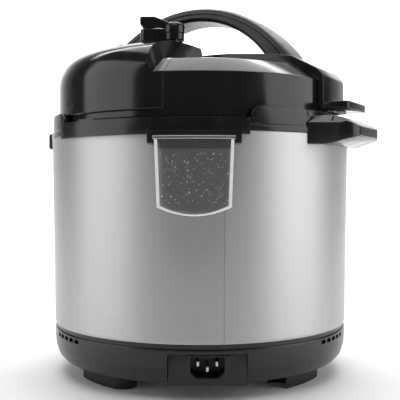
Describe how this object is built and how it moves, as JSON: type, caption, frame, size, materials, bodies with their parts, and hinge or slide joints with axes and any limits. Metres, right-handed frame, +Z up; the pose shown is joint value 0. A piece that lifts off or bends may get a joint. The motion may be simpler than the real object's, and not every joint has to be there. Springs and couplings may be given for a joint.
{
  "type": "electric pressure cooker",
  "caption": "Round steel electric pressure cooker with a turn-and-lift black lid, arched carrying handle, release valve, rear condensation cup and mains inlet.",
  "frame": {"origin": "centre of the footprint, on the surface it stands on", "axes": "+Z up along the drum's axis; the back with the inlet and the condensation cup faces -Y; the control panel faces +Y"},
  "size_m": [0.2884, 0.2998, 0.311],
  "materials": {
    "base_black": "satin moulded",
    "gloss_black": "high gloss",
    "grip_black": "fine satin",
    "foot_rubber": "matt",
    "drum_steel": "circumferential brushing",
    "pot_steel": "satin",
    "zinc_steel": "zinc plated",
    "pressed_aluminium": "as pressed",
    "cast_aluminium": "machined top face",
    "blade_brass": "nickel washed",
    "clear_plastic": "clear polished",
    "silicone": "translucent white",
    "float_red": "anodised red",
    "board_green": "solder mask",
    "wire_sleeve": "silicone sleeved",
    "ceramic_white": "glass fibre and ceramic",
    "panel_black": "semi gloss",
    "lens_smoke": "smoked",
    "key_grey": "soft touch"
  },
  "bodies": {
    "base": {"base_housing": "base_black", "base_plate": "zinc_steel", "rubber_feet": "foot_rubber", "base_screws": "zinc_steel", "inlet_socket": "base_black", "inlet_pins": "blade_brass", "drum_shell": "drum_steel", "top_collar": "gloss_black", "rear_gutter": "gloss_black", "side_handle_right": "gloss_black", "side_handle_left": "gloss_black", "side_handle_screws": "zinc_steel", "outer_pot": "pressed_aluminium", "lock_ring": "pot_steel", "insulation_sleeve": "ceramic_white", "heating_plate": "cast_aluminium", "element_terminals": "zinc_steel", "sensor_bracket": "zinc_steel", "sensor_spring": "zinc_steel", "support_bracket": "zinc_steel", "pressure_switch": "base_black", "thermal_fuse": "ceramic_white", "power_board": "board_green", "wiring_harness": "wire_sleeve", "panel_housing": "panel_black", "display_lens": "lens_smoke", "control_board": "board_green", "display_module": "ceramic_white"},
    "cup": {"condensation_cup": "clear_plastic"},
    "pot": {"inner_pot": "pot_steel"},
    "seal": {"sealing_ring": "silicone"},
    "lid": {"lid_cover": "gloss_black", "valve_cover": "gloss_black", "lid_strap": "gloss_black", "grip_lower": "grip_black", "grip_upper": "grip_black", "grip_bolts": "zinc_steel", "lid_liner": "pot_steel", "lid_screws": "zinc_steel", "seal_rack": "zinc_steel", "vent_pipe": "pot_steel", "vent_filter": "pot_steel"},
    "weight": {"valve_weight": "pot_steel"},
    "knob": {"release_knob": "gloss_black"},
    "float": {"float_pin": "float_red", "float_gasket": "silicone"},
    "sensor": {"sensor_button": "pressed_aluminium"},
    "button_body_1": {"button_1": "key_grey"},
    "button_body_2": {"button_2": "key_grey"},
    "button_body_3": {"button_3": "key_grey"},
    "button_body_4": {"button_4": "key_grey"},
    "button_body_5": {"button_5": "key_grey"},
    "button_body_6": {"button_6": "key_grey"},
    "button_body_7": {"button_7": "key_grey"},
    "button_body_8": {"button_8": "key_grey"}
  },
  "joints": [
    {"name": "lid_lift", "type": "slide", "parent": "base", "child": "seal", "axis": [0, 0, 1], "range_m": [0, 0.33]},
    {"name": "lid_twist", "type": "hinge", "parent": "seal", "child": "lid", "pos_m": [0, 0, 0.208], "axis": [0, 0, 1], "range_deg": [0, 30]},
    {"name": "pot_lift", "type": "slide", "parent": "base", "child": "pot", "axis": [0, 0, 1], "range_m": [0, 0.165]},
    {"name": "valve_lift", "type": "slide", "parent": "lid", "child": "weight", "axis": [0, 0, 1], "range_m": [0, 0.014]},
    {"name": "valve_turn", "type": "hinge", "parent": "weight", "child": "knob", "pos_m": [-0.021, -0.05, 0.28], "axis": [0, 0, 1], "range_deg": [0, 40]},
    {"name": "float_rise", "type": "slide", "parent": "lid", "child": "float", "axis": [0, 0, 1], "range_m": [0, 0.0035]},
    {"name": "cup_slide", "type": "slide", "parent": "base", "child": "cup", "axis": [0, -1, 0], "range_m": [0, 0.045]},
    {"name": "sensor_press", "type": "slide", "parent": "base", "child": "sensor", "axis": [0, 0, 1], "range_m": [-0.0025, 0], "stiffness_N_per_m": 500, "springref_m": 0.002, "deforming": ["sensor_spring"]},
    {"name": "button_1_press", "type": "slide", "parent": "base", "child": "button_body_1", "axis": [0, -1, 0], "range_m": [0, 0.0007], "stiffness_N_per_m": 300, "springref_m": -0.0006},
    {"name": "button_2_press", "type": "slide", "parent": "base", "child": "button_body_2", "axis": [0, -1, 0], "range_m": [0, 0.0007], "stiffness_N_per_m": 300, "springref_m": -0.0006},
    {"name": "button_3_press", "type": "slide", "parent": "base", "child": "button_body_3", "axis": [0, -1, 0], "range_m": [0, 0.0007], "stiffness_N_per_m": 300, "springref_m": -0.0006},
    {"name": "button_4_press", "type": "slide", "parent": "base", "child": "button_body_4", "axis": [0, -1, 0], "range_m": [0, 0.0007], "stiffness_N_per_m": 300, "springref_m": -0.0006},
    {"name": "button_5_press", "type": "slide", "parent": "base", "child": "button_body_5", "axis": [0, -1, 0], "range_m": [0, 0.0007], "stiffness_N_per_m": 300, "springref_m": -0.0006},
    {"name": "button_6_press", "type": "slide", "parent": "base", "child": "button_body_6", "axis": [0, -1, 0], "range_m": [0, 0.0007], "stiffness_N_per_m": 300, "springref_m": -0.0006},
    {"name": "button_7_press", "type": "slide", "parent": "base", "child": "button_body_7", "axis": [0, -1, 0], "range_m": [0, 0.0007], "stiffness_N_per_m": 300, "springref_m": -0.0006},
    {"name": "button_8_press", "type": "slide", "parent": "base", "child": "button_body_8", "axis": [0, -1, 0], "range_m": [0, 0.0007], "stiffness_N_per_m": 300, "springref_m": -0.0006}
  ],
  "couplings": [
    {"joint": "pot_lift", "follows": "lid_lift", "ratio": 0.5}
  ]
}
